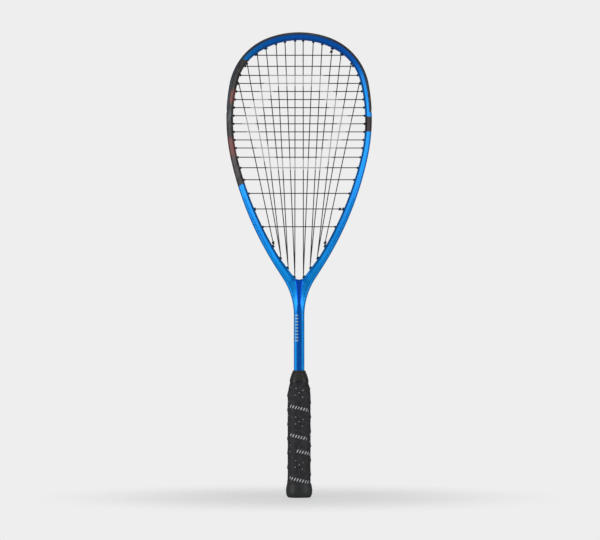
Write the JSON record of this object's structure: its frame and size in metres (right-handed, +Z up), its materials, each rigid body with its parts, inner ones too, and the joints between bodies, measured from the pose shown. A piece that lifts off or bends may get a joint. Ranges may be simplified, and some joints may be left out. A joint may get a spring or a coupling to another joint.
{
  "type": "squash racket",
  "caption": "Strung squash racket with a closed teardrop carbon head, slim shaft and wrapped octagonal handle",
  "frame": {"origin": "Centre of the butt end, where the racket would stand on its butt cap.", "axes": "+Z runs up the handle and shaft to the tip of the head, X across the head, and Y along the string bed's normal with the front face towards -Y."},
  "size_m": [0.2146, 0.0336, 0.686],
  "materials": {
    "painted_carbon": "gloss metallic blue lacquer over carbon composite, with dark grey and red-brown panels",
    "bumper_nylon": "satin dark slate nylon",
    "grommet_nylon": "satin black nylon",
    "string": "black coated multifilament with a stencilled pale mark",
    "handle_foam": "moulded rigid polyurethane foam",
    "grip": "black perforated synthetic leather, spiral wrapped, with pale printed ticks",
    "tape": "black vinyl tape",
    "plug_foam": "closed-cell foam",
    "collar_rubber": "ribbed black rubber",
    "butt_rubber": "matt black rubber",
    "badge": "gloss blue moulded disc with a plain ring",
    "tack_steel": "blackened steel"
  },
  "bodies": {
    "root": {"frame": "painted_carbon", "bumper_guard": "bumper_nylon", "grommet_strip_left": "grommet_nylon", "grommet_strip_right": "grommet_nylon", "main_string": "string", "cross_string": "string", "handle_core": "handle_foam", "grip_wrap": "grip", "finishing_tape": "tape", "shaft_plug": "plug_foam", "grip_collar": "collar_rubber", "butt_cap": "butt_rubber", "butt_badge": "badge", "butt_tacks": "tack_steel", "throat_grommet_left_1": "grommet_nylon", "throat_grommet_left_2": "grommet_nylon", "throat_grommet_left_3": "grommet_nylon", "throat_grommet_left_4": "grommet_nylon", "throat_grommet_right_1": "grommet_nylon", "throat_grommet_right_2": "grommet_nylon", "throat_grommet_right_3": "grommet_nylon", "throat_grommet_right_4": "grommet_nylon"}
  },
  "joints": []
}
